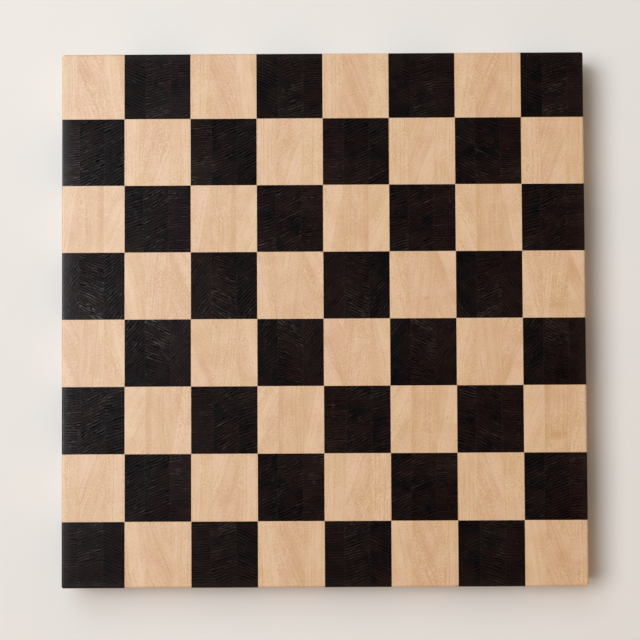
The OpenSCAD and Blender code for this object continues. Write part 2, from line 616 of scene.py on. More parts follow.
def joints_of(file, rank, place, box):
    """Where the stave's two long joints lie, sideways in its stick."""
    own_place = stave_in_stick(file, rank, place)[1]
    ends = sorted(place_in_stick(file, rank, corner)[0] for corner in box)
    if own_place == 0:
        ends[0] = -SQUARE_X_MM/2
    if own_place == len(PLACES) - 1:
        ends[1] = SQUARE_X_MM/2
    return ends


print("a8's left stave and b1's right one:", stave_in_stick(0, 7, 0), stave_in_stick(1, 0, 2))

# %% [markdown]
# The coordinates go onto the mesh as attributes, one value per corner point. They change evenly
# from corner to corner, so a plain block without any extra cuts carries them exactly. `grain` runs
# across the rings, along the rings and up the fibres, in millimetres. `joints` is the distance
# from each of the stave's two glue joints, and the place up the square. The other attributes are
# the stave's line in the table, with a seed for its noise.

# %% Write the places onto the mesh
SEED_STEP = 3.7


def point_values(file, rank, place, box, point):
    stick, own_place = stave_in_stick(file, rank, place)
    kind = STICKS[stick][own_place]
    start, end = joints_of(file, rank, place, box)
    sideways, endways, up = place_in_stick(file, rank, point)
    off = sideways - (start + end)/2
    sine, cosine = math.sin(kind["angle"]), math.cos(kind["angle"])
    seed = SEED_STEP*(len(PLACES)*stick + own_place + 1)
    return {
        "grain": (cosine*endways - sine*off, cosine*off + sine*endways, up),
        "joints": (sideways - start, end - sideways, endways + SQUARE_Y_MM/2),
        "rings": kind["rings"],
        "look": kind["look"],
        "tones": kind["tones"],
        "edges": (*kind["edges"], seed),
    }


def mark_staves(piece, file, place, boxes):
    """boxes holds each rank's box. Every corner point gets its own stave's values."""
    values = []
    for vertex in piece.data.vertices:
        rank = next(rank for rank in boxes if in_rank(file, rank, vertex.co))
        values.append(point_values(file, rank, place, boxes[rank], vertex.co))
    for name in values[0]:
        attribute = piece.data.attributes.new(name, "FLOAT_VECTOR", "POINT")
        attribute.data.foreach_set("vector", [c for value in values for c in value[name]])


b2_values = point_values(1, 1, 1, (b2_low, b2_high), b2_high)
print("grain at a corner of b2's middle stave:", [round(c, 1) for c in b2_values["grain"]])

# %% [markdown]
# ## The pattern of upright wood
#
# Both woods and the oil on them use the same few effects, each with its own values. An effect is
# therefore a shader node group with named inputs and outputs, built once. These helpers start a
# group, place it in a tree, and give the noise that most of the effects begin with.

# %% Make and place node groups
FLOAT = "NodeSocketFloat"
VECTOR = "NodeSocketVector"
NOISE_DETAIL = 2.0


def start_group(name, inputs, outputs):
    """inputs and outputs give each socket's name and kind, and an input its usual value."""
    group = bpy.data.node_groups.new(name, "ShaderNodeTree")
    for socket, kind, usual in inputs:
        made = group.interface.new_socket(socket, in_out="INPUT", socket_type=kind)
        if usual is not None:
            made.default_value = usual
    for socket, kind in outputs:
        group.interface.new_socket(socket, in_out="OUTPUT", socket_type=kind)
    given = group.nodes.new("NodeGroupInput").outputs
    wanted = group.nodes.new("NodeGroupOutput").inputs
    return group, given, wanted


def use_group(tree, group, **values):
    """Places a group in a tree. A value's name is its socket's, with _ for a space."""
    made = tree.nodes.new("ShaderNodeGroup")
    made.node_tree = group
    for name, value in values.items():
        feed(tree, made.inputs[name.replace("_", " ")], value)
    return made.outputs


def noise(tree, vector, size, seed):
    """Noise from about -1 to 1, whose lumps have the given size along each axis."""
    other_seed = calc(tree, "MULTIPLY", seed, 1.7)
    shift = result(step(tree, "ShaderNodeCombineXYZ", seed, other_seed, seed))
    place = vector_calc(tree, "ADD", vector_calc(tree, "DIVIDE", vector, size), shift)
    lumps = step(tree, "ShaderNodeTexNoise", place, noise_dimensions="3D")
    lumps.inputs["Scale"].default_value = 1.0
    lumps.inputs["Detail"].default_value = NOISE_DETAIL
    return result(step(tree, "ShaderNodeMapRange", result(lumps), 0.25, 0.75, -1.0, 1.0))


print("helpers:", start_group.__name__, use_group.__name__, noise.__name__)

# %% [markdown]
# End grain shows the growth rings as lines across each stave. A ready-made wave texture draws them
# too evenly. This group bends, fans and ruffles the stave's coordinates into the run of its rings,
# says how far each point is through its ring, and gives every ring a vigour of its own.

# %% Grow the rings
SLOW_WAVE_MM = (14, 60, 200)
QUICK_WAVE_MM = (2.6, 9, 60)


def growth_rings_group():
    group, given, wanted = start_group(
        "growth_rings",
        [("Grain", VECTOR, None), ("Bend", FLOAT, 0.0), ("Fan", FLOAT, 0.0),
         ("Ring Width", FLOAT, 2.5), ("Seed", FLOAT, 0.0), ("Waviness", FLOAT, 1.0),
         ("Ruffle", FLOAT, 0.12)],
        [("Wavy Grain", VECTOR), ("Ring Place", FLOAT), ("Ring Vigour", FLOAT)],
    )
    across, along, up = split(group, given["Grain"])
    half_square = calc(group, "MULTIPLY", calc(group, "MULTIPLY", along, along), 0.5)
    bent = calc(group, "MULTIPLY_ADD", half_square, given["Bend"], across)
    fanned = calc(group, "MULTIPLY_ADD", calc(group, "MULTIPLY", across, along), given["Fan"], bent)
    slow = noise(group, given["Grain"], SLOW_WAVE_MM, given["Seed"])
    quick = noise(group, given["Grain"], QUICK_WAVE_MM, given["Seed"])
    ruffled = calc(group, "MULTIPLY_ADD", quick, given["Ruffle"], slow)
    run = calc(group, "MULTIPLY_ADD", ruffled, given["Waviness"], fanned)
    count = calc(group, "ADD", calc(group, "DIVIDE", run, given["Ring Width"]), given["Seed"])
    wavy = result(step(group, "ShaderNodeCombineXYZ", run, along, up))
    number = calc(group, "FLOOR", count)
    vigour = step(group, "ShaderNodeTexWhiteNoise", number, noise_dimensions="1D")
    feed(group, wanted["Wavy Grain"], wavy)
    feed(group, wanted["Ring Place"], calc(group, "FRACT", count))
    feed(group, wanted["Ring Vigour"], vigour.outputs["Value"])
    return group


RINGS = growth_rings_group()
print("group:", RINGS.name)

# %% [markdown]
# Over the single rings lie wider zones of pale and dark wood, where the tree grew faster or slower.
# Streaks are finer: noise that is stretched along the rings and the fibres. A recipe asks for
# streaks of many sizes, so the size is an input.

# %% Lay the zones and the streaks
def zones_group():
    """Zones that follow the rings: three tones, which change over at two edges."""
    group, given, wanted = start_group(
        "zones",
        [("Wavy Grain", VECTOR, None), ("Tones", VECTOR, None), ("Low Edge", FLOAT, -5.0),
         ("High Edge", FLOAT, 5.0), ("Softness", FLOAT, 0.8)],
        [("Tone", FLOAT)],
    )
    run = split(group, given["Wavy Grain"])["X"]
    low, middle, high = split(group, given["Tones"])

    def past(edge):
        start = calc(group, "SUBTRACT", edge, given["Softness"])
        return fade(group, run, start, calc(group, "ADD", edge, given["Softness"]))

    first_step = calc(group, "SUBTRACT", middle, low)
    second_step = calc(group, "SUBTRACT", high, middle)
    tone = calc(group, "MULTIPLY_ADD", past(given["Low Edge"]), first_step, low)
    tone = calc(group, "MULTIPLY_ADD", past(given["High Edge"]), second_step, tone)
    feed(group, wanted["Tone"], tone)
    return group


def streaks_group():
    group, given, wanted = start_group(
        "streaks",
        [("Wavy Grain", VECTOR, None), ("Size", VECTOR, (5, 50, 200)), ("Seed", FLOAT, 0.0)],
        [("Amount", FLOAT)],
    )
    feed(group, wanted["Amount"], noise(group, given["Wavy Grain"], given["Size"], given["Seed"]))
    return group


ZONES = zones_group()
STREAKS = streaks_group()
print("groups:", ZONES.name, STREAKS.name)

# %% [markdown]
# Two finer things show between the rings. Vessels that were cut across are small dots on the end
# grain and fine upright scratches on the sides. They are the cells of a Voronoi texture, each
# drawn out along the fibres, and chance keeps only some of them. The glue is a hairline along a
# stave's two long joints, broken where the wood drank it.

# %% Cut the pores and draw the glue lines
def pores_group():
    group, given, wanted = start_group(
        "pores",
        [("Wavy Grain", VECTOR, None), ("Spacing", FLOAT, 1.0), ("Length", FLOAT, 20.0),
         ("Width", FLOAT, 0.3), ("Share", FLOAT, 0.5)],
        [("Amount", FLOAT)],
    )
    squeezed = step(group, "ShaderNodeCombineXYZ", 1.0, 1.4, given["Length"])
    place = vector_calc(group, "DIVIDE", given["Wavy Grain"], result(squeezed))
    cells = step(group, "ShaderNodeTexVoronoi", feature="F1", voronoi_dimensions="3D")
    feed(group, cells.inputs["Vector"], place)
    feed(group, cells.inputs["Scale"], calc(group, "DIVIDE", 1.0, given["Spacing"]))
    core = calc(group, "MULTIPLY", given["Width"], 0.5)
    dot = fade(group, cells.outputs["Distance"], given["Width"], core)
    chance = split(group, cells.outputs["Color"])["X"]
    kept = fade(group, chance, given["Share"], calc(group, "MULTIPLY", given["Share"], 0.4))
    feed(group, wanted["Amount"], calc(group, "MULTIPLY", dot, kept))
    return group


def glue_joints_group():
    group, given, wanted = start_group(
        "glue_joints",
        [("Joints", VECTOR, None), ("Width", FLOAT, 0.25), ("Seed", FLOAT, 0.0)],
        [("Amount", FLOAT)],
    )
    from_start, from_end, endways = split(group, given["Joints"])
    line = fade(group, calc(group, "MINIMUM", from_start, from_end), given["Width"], 0.0)
    run = result(step(group, "ShaderNodeCombineXYZ", 0.0, endways, 0.0))
    broken = fade(group, noise(group, run, (1, 1.4, 1), given["Seed"]), -0.3, 0.5)
    feed(group, wanted["Amount"], calc(group, "MULTIPLY", line, broken))
    return group


PORES = pores_group()
JOINTS = glue_joints_group()
print("groups:", PORES.name, JOINTS.name)

# %% [markdown]
# The board is oiled and rubbed out by hand. The rag leaves soft patches of more and less oil, with
# finer marks along its strokes. Hands and the rag rub the rim of the playing surface most, and it
# shines more toward its very edge. Both effects lie over the whole board, so they read the
# board's own place and not the staves'.

# %% Wipe on the oil and rub the rim
# The size of the rag's patches and strokes, in metres, because the board's own place is in metres
OIL_PATCH = (0.030, 0.022, 0.05)
RAG_STROKE = (0.004, 0.016, 0.05)
RIM_MM = 10


def wiped_oil_group():
    group, given, wanted = start_group("wiped_oil", [("Place", VECTOR, None)], [("Amount", FLOAT)])
    patches = noise(group, given["Place"], OIL_PATCH, 3.0)
    strokes = noise(group, given["Place"], RAG_STROKE, 7.0)
    feed(group, wanted["Amount"], total(group, 0.0, (patches, 0.7), (strokes, 0.3)))
    return group


def rubbed_rim_group():
    """0 inside the rim and below the playing surface, and 1 at its very edge."""
    group, given, wanted = start_group(
        "rubbed_rim", [("Place", VECTOR, None), ("Width", FLOAT, RIM_MM*MM)], [("Amount", FLOAT)],
    )
    x, y, z = split(group, given["Place"])
    edges = ((x, X_SIDE), (y, Y_SIDE))
    away = [calc(group, "SUBTRACT", side, calc(group, "ABSOLUTE", place)) for place, side in edges]
    share = calc(group, "DIVIDE", calc(group, "MINIMUM", *away), given["Width"])
    near = calc(group, "MAXIMUM", calc(group, "SUBTRACT", 1.0, share), 0.0)
    on_top = fade(group, z, BOARD_TOP - 2*MM, BOARD_TOP - MM)
    squared = calc(group, "MULTIPLY", near, near)
    feed(group, wanted["Amount"], calc(group, "MULTIPLY", squared, on_top))
    return group


WIPED_OIL = wiped_oil_group()
RUBBED_RIM = rubbed_rim_group()
print("groups:", WIPED_OIL.name, RUBBED_RIM.name)

# %% [markdown]
# ## The two woods
#
# A wood's material starts by reading the stave's attributes and laying out its rings and zones.
# The parts that a recipe can use are kept under plain names. Two woods of one build need no more
# than this to look quite different, since their recipes weigh the parts in their own way.

# %% Start a wood
def read(tree, name):
    """One of the staves' attributes."""
    made = tree.nodes.new("ShaderNodeAttribute")
    made.attribute_name = name
    return made.outputs["Vector"]


def start_wood(name, waviness, ruffle):
    material, tree, shader = new_material(name)
    bend, fan, ring_width = split(tree, read(tree, "rings"))
    warmth, lines, gloss = split(tree, read(tree, "look"))
    low_edge, high_edge, seed = split(tree, read(tree, "edges"))
    rings = use_group(
        tree, RINGS, Grain=read(tree, "grain"), Bend=bend, Fan=fan, Ring_Width=ring_width,
        Seed=seed, Waviness=waviness, Ruffle=ruffle,
    )
    tone = use_group(
        tree, ZONES, Wavy_Grain=rings["Wavy Grain"], Tones=read(tree, "tones"),
        Low_Edge=low_edge, High_Edge=high_edge,
    )["Tone"]
    return {
        "tree": tree, "material": material, "shader": shader,
        "tone": tone, "warmth": warmth, "lines": lines, "gloss": gloss, "seed": seed,
        "grain": rings["Wavy Grain"], "place": rings["Ring Place"], "vigour": rings["Ring Vigour"],
    }


def streaks(wood, size, shift=0.0):
    """Streaks of a size in mm across the rings, along them and up the fibres, from -1 to 1."""
    tree = wood["tree"]
    seed = calc(tree, "ADD", wood["seed"], shift)
    return use_group(tree, STREAKS, Wavy_Grain=wood["grain"], Size=size, Seed=seed)["Amount"]


def glue_lines(wood, width):
    tree = wood["tree"]
    joints = read(tree, "joints")
    return use_group(tree, JOINTS, Joints=joints, Width=width, Seed=wood["seed"])["Amount"]


print("recipes read:", ", ".join(b2_values))

# %% [markdown]
# The oil is a thin coat over the wood. A coat of one weight would look like varnish. Oil lies
# thinner where the grain is open and drinks it, and thicker where the rag left more, so the coat's
# weight carries the pattern too. The open grain also lies a few hundredths of a millimetre lower,
# which is what the bump is for.

# %% Oil a wood
OPEN_GRAIN_MM = 0.02
WIPED_SHINE = 0.25
STAVE_SHINE = 0.35
OPEN_GRAIN_SHINE = -0.8
RIM_SHINE = 1.8


def oil_finish(wood, coat, coat_roughness, openness, roughness, gloss):
    """coat is the oil's usual weight. Where openness is high, the grain takes the oil in and is
    dull, and where it is below 0, the grain is dense and shines."""
    tree, shader = wood["tree"], wood["shader"]
    place = object_place(tree)
    wiped = use_group(tree, WIPED_OIL, Place=place)["Amount"]
    rubbed = use_group(tree, RUBBED_RIM, Place=place)["Amount"]
    share = total(
        tree, 1.0, (wiped, WIPED_SHINE), (wood["gloss"], STAVE_SHINE),
        (openness, OPEN_GRAIN_SHINE), (rubbed, RIM_SHINE),
    )
    weight = step(tree, "ShaderNodeMath", share, coat, operation="MULTIPLY", use_clamp=True)
    feed(tree, shader.inputs["Coat Weight"], result(weight))
    shader.inputs["Coat Roughness"].default_value = coat_roughness
    shader.inputs["Specular IOR Level"].default_value = gloss
    shader.inputs["Roughness"].default_value = roughness
    add_bump(tree, shader, calc(tree, "MULTIPLY", openness, -1.0), OPEN_GRAIN_MM*MM)


print("open grain:", OPEN_GRAIN_MM, "mm deep")

# %% [markdown]
# Three of the light squares have a mineral stain, as such wood often does: a dark spot with a soft
# cloud round it, a pale brown patch, and a speck. Each is a flat lens at its own place on the
# board, made ragged by streaks, that makes the wood there browner.

# %% Stain three of the squares
STAIN_DEPTH_MM = 9
# The middle in x and y, the reach in x and y, and the strength
STAINS_MM = (
    (181.7, -87.4, 2.2, 1.6, 1.3),
    (177.0, -88.4, 13.0, 5.0, 0.45),
    (174.4, 11.4, 12.0, 6.0, 0.35),
    (77.8, 15.2, 3.0, 2.0, 0.7),
)


def stained(wood, brown):
    tree = wood["tree"]
    place = object_place(tree)
    ragged = calc(tree, "MULTIPLY_ADD", streaks(wood, (2.5, 2.5, 40), 71), 0.35, 1.0)
    for x, y, x_reach, y_reach, strength in STAINS_MM:
        middle = (x*MM, y*MM, BOARD_TOP)
        reach = (x_reach*MM, y_reach*MM, STAIN_DEPTH_MM*MM)
        away = vector_calc(tree, "DIVIDE", vector_calc(tree, "SUBTRACT", place, middle), reach)
        distance = step(tree, "ShaderNodeVectorMath", away, operation="LENGTH").outputs["Value"]
        spot = fade(tree, calc(tree, "MULTIPLY", distance, ragged), 1.0, 0.0)
        brown = calc(tree, "MULTIPLY_ADD", spot, strength, brown)
    return brown


print("stains:", len(STAINS_MM), "spots and clouds")

# %% [markdown]
# The light wood is close and even, like maple. It shows pale bands that follow the rings, thin
# darker lines where each ring ends, broken into dashes, and very fine flecks and rays across them.
# All of these only say how brown the wood is. A second blend, from yellowish to rosy, sets the
# staves apart from each other.

# %% Mix the light wood
PALE = colour(230, 197, 166)
BROWN = colour(196, 150, 104)
ROSY = colour(218, 166, 134)
YELLOWISH = colour(212, 174, 116)


def light_ring_lines(wood):
    """A thin line where each ring ends, strong in a few rings and broken into dashes."""
    tree = wood["tree"]
    rise = fade(tree, wood["place"], 0.80, 0.93)
    drop = fade(tree, wood["place"], 1.0, 0.95)
    dashes = fade(tree, streaks(wood, (2.5, 3.5, 20), 47), -0.4, 0.1)
    strong = calc(tree, "POWER", wood["vigour"], 3.0)
    ring_end = calc(tree, "MULTIPLY", calc(tree, "MULTIPLY", rise, drop), strong)
    return calc(tree, "MULTIPLY", calc(tree, "MULTIPLY", ring_end, dashes), wood["lines"])


def light_wood():
    wood = start_wood("light_wood", waviness=1.3, ruffle=0.12)
    tree = wood["tree"]
    ring_line = light_ring_lines(wood)
    threads = streaks(wood, (0.9, 20, 160), 11)
    rays = streaks(wood, (4, 0.5, 5), 31)
    specks = streaks(wood, (0.55, 0.8, 12), 43)
    fine = total(tree, 0.0, (threads, 0.24), (rays, 0.13), (specks, 0.70), (ring_line, 4.2))
    busy = fade(tree, streaks(wood, (7, 20, 90), 67), -0.5, 0.5)
    fine = calc(tree, "MULTIPLY", fine, total(tree, 0.5, (busy, 0.8)))
    bands = fade(tree, streaks(wood, (5, 60, 300)), -0.5, 0.5)
    clouds = streaks(wood, (13, 15, 120), 23)
    brown = total(
        tree, 0.32, (wood["tone"], -0.22), (bands, 0.17), (wood["place"], 0.05), (clouds, 0.22),
        (fine, 1.0), (glue_lines(wood, 0.3), 0.3),
    )
    plain = blend_colours(tree, stained(wood, brown), PALE, BROWN)
    hue = total(tree, 0.5, (streaks(wood, (12, 24, 60), 57), 0.6), (wood["warmth"], 0.4))
    tint = blend_colours(tree, hue, YELLOWISH, ROSY)
    feed(tree, wood["shader"].inputs["Base Color"], blend_colours(tree, 0.30, plain, tint))
    openness = total(tree, 0.1, (specks, 0.15), (ring_line, 0.6))
    oil_finish(wood, coat=0.95, coat_roughness=0.42, openness=openness, roughness=0.42, gloss=0.5)
    return wood["material"]


LIGHT_WOOD = light_wood()
print("material:", LIGHT_WOOD.name, "with", len(LIGHT_WOOD.node_tree.nodes), "nodes")

# %% [markdown]
# The dark wood is nearly black, like wenge. In each of its rings a dense band takes the light, and
# beside it a furrow of open wood stays dull and dark. That is the fine hatch on the dark squares,
# and it is strongest where the light glances off. A hatch painted in the colour alone would look
# alike all over the board, so most of it is in the openness of the grain, which dulls the oil.
# A little of it is painted into the colour: the dense bands are lightened there as a painted
# sheen, and the furrows are darkened as painted shade.

# %% Mix the dark wood
BLACK_BLUE = (0.0012, 0.0009, 0.0018, 1)
BLACK_RED = (0.0056, 0.0009, 0.0012, 1)
# The pale colour that the dark wood's lightness blends toward; on the dense bands it is partly a
# painted sheen
HATCH_AND_SHEEN = colour(94, 83, 77)
PORE = colour(120, 110, 104)


# In the colour these dashes are partly a painted sheen; in the oil they are dense grain that shines
def dark_hatch_and_sheen(wood, patches):
    """Short pale dashes along the dense band of each ring, and finer ones between them."""
    tree = wood["tree"]
    rise = fade(tree, wood["place"], 0.30, 0.45)
    drop = fade(tree, wood["place"], 0.70, 0.52)
    broken = fade(tree, streaks(wood, (1.2, 5, 30), 11), -0.5, 0.4)
    fine = fade(tree, streaks(wood, (0.4, 4, 30), 23), 0.1, 0.9)
    ring_line = calc(tree, "MULTIPLY", calc(tree, "MULTIPLY", rise, drop), wood["vigour"])
    dashes = total(tree, 0.0, (calc(tree, "MULTIPLY", ring_line, broken), 2.0), (fine, 1.4))
    marks = calc(tree, "MULTIPLY", dashes, total(tree, 0.25, (patches, 1.0)))
    strength = calc(tree, "MULTIPLY", wood["lines"], total(tree, 0.75, (wood["tone"], 0.6)))
    return calc(tree, "MULTIPLY", marks, calc(tree, "MAXIMUM", strength, 0.1))


def dark_wood():
    wood = start_wood("dark_wood", waviness=0.9, ruffle=0.6)
    tree = wood["tree"]
    patches = fade(tree, streaks(wood, (7, 9, 60), 5), -0.4, 0.5)
    specks = streaks(wood, (0.7, 0.9, 12), 43)
    clouds = streaks(wood, (10, 14, 120), 31)
    hatch_and_sheen = dark_hatch_and_sheen(wood, patches)
    groove = fade(tree, wood["place"], 0.56, 0.72)
    furrow_and_shade = calc(tree, "MULTIPLY", groove, total(tree, 0.35, (patches, 0.65)))
    pores = use_group(
        tree, PORES, Wavy_Grain=wood["grain"], Spacing=2.0, Length=24.0, Width=0.2, Share=0.25,
    )["Amount"]
    warm = total(tree, 0.5, (wood["warmth"], 0.4), (clouds, 0.7))
    ground = blend_colours(tree, warm, BLACK_BLUE, BLACK_RED)
    # In the colour the hatch is partly a painted sheen, and the furrow is painted shade in the open
    # grooves
    lightness = total(
        tree, 0.034, (hatch_and_sheen, 0.09), (furrow_and_shade, -0.03), (wood["tone"], 0.022), (clouds, 0.024),
        (specks, 0.05), (glue_lines(wood, 0.4), 0.16),
    )
    lit = blend_colours(tree, lightness, ground, HATCH_AND_SHEEN)
    lit = blend_colours(tree, calc(tree, "MULTIPLY", pores, 0.16), lit, PORE)
    feed(tree, wood["shader"].inputs["Base Color"], lit)
    openness = total(tree, 0.33, (furrow_and_shade, 1.05), (hatch_and_sheen, -2.8), (specks, 0.8), (pores, 0.3))
    oil_finish(wood, coat=0.225, coat_roughness=0.29, openness=openness, roughness=0.5, gloss=0.0)
    return wood["material"]


DARK_WOOD = dark_wood()
print("material:", DARK_WOOD.name, "with", len(DARK_WOOD.node_tree.nodes), "nodes")

# %% [markdown]
# ## Setting the staves in the board
#
# One piece stands for each node of the frame, and holds the four staves of one wood and one place
# in a file. Each takes the material made for its wood.

# %% Build all the staves
WOOD_MATERIALS = {"light": LIGHT_WOOD, "dark": DARK_WOOD}


def build_staves(file, wood, place):
    node = f"file_{FILES[file]}_{WOODS[wood]}_{PLACES[place]}_staves"
    boxes = {rank: stave_box(node, file, rank) for rank in ranks_of(file, wood)}
    piece = model_staves("oiled_" + node, boxes.values())
    mark_staves(piece, file, place, boxes)
    piece.data.materials.append(WOOD_MATERIALS[WOODS[wood]])
    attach(piece, "root")
    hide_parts(node)
    return piece


stave_pieces = [
    build_staves(file, wood, place)
    for file in range(SQUARES)
    for wood in range(len(WOODS))
    for place in range(len(PLACES))
]
print("stave pieces:", len(stave_pieces), "faces:", sum(len(p.data.polygons) for p in stave_pieces))

# %% [markdown]
# ## The feet
#
# Such a board stands on four rubber feet, so that it doesn't slide or rock. Each is moulded round
# a steel washer, and one pan head screw holds it. They can't be seen from above. All three are
# round. Spinning a section would make them too, but here each is drawn as a turner would read it:
# a ring of edges is extruded from one radius and height to the next.

# %% Draw round parts
RING_SIDES = 64


def draw_rings(profile_mm):
    """profile_mm gives each ring's radius and height. A last ring like the first closes it."""
    (radius, height), *others = [(r*MM, z*MM) for r, z in profile_mm]
    bpy.ops.mesh.select_mode(type="VERT")
    bpy.ops.mesh.select_all(action="DESELECT")
    bpy.ops.mesh.primitive_circle_add(vertices=RING_SIDES, radius=radius, location=(0, 0, height))
    for next_radius, next_height in others:
        bpy.ops.mesh.extrude_edges_move()
        scale = next_radius/radius
        bpy.ops.transform.resize(value=(scale, scale, 1), center_override=(0, 0, height))
        bpy.ops.transform.translate(value=(0, 0, next_height - height))
        radius, height = next_radius, next_height


def close_shape():
    """Merges the first and the last ring, and points the faces outwards."""
    bpy.ops.mesh.select_all(action="SELECT")
    bpy.ops.mesh.remove_doubles(threshold=HAIR/10)
    bpy.ops.mesh.normals_make_consistent(inside=False)


def select_ring(piece, radius_mm, height_mm):
    mesh = bmesh.from_edit_mesh(piece.data)
    bpy.ops.mesh.select_mode(type="EDGE")
    bpy.ops.mesh.select_all(action="DESELECT")
    for edge in mesh.edges:
        edge.select_set(all(
            abs(v.co.xy.length - radius_mm*MM) < HAIR and abs(v.co.z - height_mm*MM) < HAIR
            for v in edge.verts
        ))
    bmesh.update_edit_mesh(piece.data)


def model_ring(name, profile_mm, rounds):
    """A closed ring. rounds gives the edges to round: each one's radius, height, size and steps."""
    piece = start_piece(name)
    bpy.ops.object.mode_set(mode="EDIT")
    draw_rings(profile_mm)
    close_shape()
    for radius_mm, height_mm, round_mm, steps in rounds:
        select_ring(piece, radius_mm, height_mm)
        bpy.ops.mesh.bevel(offset=round_mm*MM, segments=steps, profile=0.5, affect="EDGES")
    bpy.ops.object.mode_set(mode="OBJECT")
    finish_normals(piece)
    return piece


print("round parts have", RING_SIDES, "sides")

# %% [markdown]
# The foot is a drafted ring of rubber with a recess for the screw's head and a slot for the washer.
# Moulded rubber has no sharp rims, so its lower edge is well rounded and the recess a little.

# %% Model a foot
FOOT_MM = 9.0
FOOT_GROUND_R_MM = 9.87
FOOT_TOP_R_MM = 11.13
FOOT_ROUND_MM = 0.87
FOOT_ROUND_STEPS = 5
RECESS_R_MM = 5.25
WASHER_R_MM = 6.75
WASHER_MM = (4.0, 5.4)
SOFT_RIM_MM = 0.3
SOFT_RIM_STEPS = 3


foot_model = model_ring(
    "foot_model",
    [(HOLE_R_MM, FOOT_MM), (FOOT_TOP_R_MM, FOOT_MM), (FOOT_GROUND_R_MM, 0), (RECESS_R_MM, 0),
     (RECESS_R_MM, WASHER_MM[0]), (WASHER_R_MM, WASHER_MM[0]), (WASHER_R_MM, WASHER_MM[1]),
     (HOLE_R_MM, WASHER_MM[1]), (HOLE_R_MM, FOOT_MM)],
    [(FOOT_GROUND_R_MM, 0, FOOT_ROUND_MM, FOOT_ROUND_STEPS),
     (RECESS_R_MM, 0, SOFT_RIM_MM, SOFT_RIM_STEPS)],
)
print("foot:", len(foot_model.data.polygons), "faces")

# %% [markdown]
# The washer fills the foot's slot. It was stamped, so the rim of its hole is slightly rounded where
# the screw's head bears on it.

# %% Model a washer
WASHER_RIM_MM = 0.15
WASHER_RIM_STEPS = 2


washer_model = model_ring(
    "washer_model",
    [(HOLE_R_MM, WASHER_MM[0]), (WASHER_R_MM, WASHER_MM[0]), (WASHER_R_MM, WASHER_MM[1]),
     (HOLE_R_MM, WASHER_MM[1]), (HOLE_R_MM, WASHER_MM[0])],
    [(HOLE_R_MM, WASHER_MM[0], WASHER_RIM_MM, WASHER_RIM_STEPS)],
)
print("washer:", len(washer_model.data.polygons), "faces")

# %% [markdown]
# The screw's head is a low dome over a short straight rim, with a cross recess. The dome is the cap
# of a ball, so its rings follow from its rise. The recess is cut by two bars that narrow toward
# its bottom, as the driver's tip does.

# %% Shape the screw's head
HEAD_R_MM = 4.0
HEAD_MM = (1.2, 2.6, 4.0)
DOME_STEPS = 6
RECESS_ARM_MM = (4.4, 1.1)
RECESS_DEPTH_MM = 1.6
RECESS_TAPER = 0.75


def dome_profile():
    """The dome's rings, from near its middle to its rim."""
    rise = HEAD_MM[1] - HEAD_MM[0]
    ball = (HEAD_R_MM**2 + rise**2)/(2*rise)
    radii = [HEAD_R_MM*k/DOME_STEPS for k in range(1, DOME_STEPS + 1)]
    return [(r, HEAD_MM[0] + ball - math.sqrt(ball**2 - r**2)) for r in radii]


def recess_arm(turn_deg):
    """One arm of the cross, as a bar that reaches as far out of the head as into it."""
    arm = start_piece("recess_arm")
    bpy.ops.object.mode_set(mode="EDIT")
    size = Vector((*RECESS_ARM_MM, 2*RECESS_DEPTH_MM))*MM
    bpy.ops.mesh.primitive_cube_add(size=1, location=(0, 0, HEAD_MM[0]*MM), scale=size)
    mesh = bmesh.from_edit_mesh(arm.data)
    for vertex in mesh.verts:
        vertex.select_set(vertex.co.z > HEAD_MM[0]*MM)
    mesh.select_flush_mode()
    bmesh.update_edit_mesh(arm.data)
    bpy.ops.transform.resize(value=(RECESS_TAPER, RECESS_TAPER, 1), center_override=(0, 0, 0))
    bpy.ops.mesh.select_all(action="SELECT")
    turn = math.radians(turn_deg)
    bpy.ops.transform.rotate(value=turn, orient_axis="Z", center_override=(0, 0, 0))
    bpy.ops.object.mode_set(mode="OBJECT")
    return arm


print("dome:", [(round(r, 2), round(z, 2)) for r, z in dome_profile()])

# %% [markdown]
# The shank is threaded. A bump could paint the thread, but the screw's outline would stay smooth.
# So a small three-cornered ridge is wound up round a plain core by a Screw modifier.

# %% Wind the thread
CORE_R_MM = 1.55
CREST_R_MM = 2.1
PITCH_MM = 1.8
RIDGE_MM = 0.5
RIDGE_SUNK_MM = 0.1
THREAD_START_MM = 5.6
THREAD_TURNS = 7
STEPS_PER_TURN = 24


def model_thread():
    """The ridge's section, wound up. Its foot lies inside the core."""
    ridge = start_piece("thread_model")
    bpy.ops.object.mode_set(mode="EDIT")
    bpy.ops.mesh.primitive_circle_add(vertices=3, radius=1, fill_type="NGON", location=(0, 0, 0))
    mesh = bmesh.from_edit_mesh(ridge.data)
    inner, outer = (CORE_R_MM - RIDGE_SUNK_MM)*MM, CREST_R_MM*MM
    low, middle, high = [(THREAD_START_MM + RIDGE_MM*k)*MM for k in (-1, 0, 1)]
    for vertex, place in zip(mesh.verts, ((inner, 0, low), (outer, 0, middle), (inner, 0, high))):
        vertex.co = place
    bmesh.update_edit_mesh(ridge.data)
    bpy.ops.object.mode_set(mode="OBJECT")
    modifier = ridge.modifiers.new("wind", "SCREW")
    modifier.axis = "Z"
    modifier.angle = math.radians(360*THREAD_TURNS)
    modifier.screw_offset = PITCH_MM*THREAD_TURNS*MM
    modifier.steps = modifier.render_steps = STEPS_PER_TURN*THREAD_TURNS
    modifier.use_normal_calculate = True
    bpy.ops.object.modifier_apply(modifier=modifier.name)
    return ridge


thread = model_thread()
print("thread:", len(thread.data.polygons), "faces")

# %% [markdown]
# The head, the neck, the core and the point are drawn in rings from the head down. The two ends are
# closed, the recess is cut, and the thread is joined on.

# %% Model a screw
TIP_START_MM = 19.5
TIP_MM = 23.0
TIP_R_MM = 0.15
RUN_OUT_MM = 0.6


def join(pieces):
    """Joins the pieces into the first one."""
    deselect_all()
    for piece in pieces:
        piece.select_set(True)
    bpy.context.view_layer.objects.active = pieces[0]
    bpy.ops.object.join()
    return pieces[0]


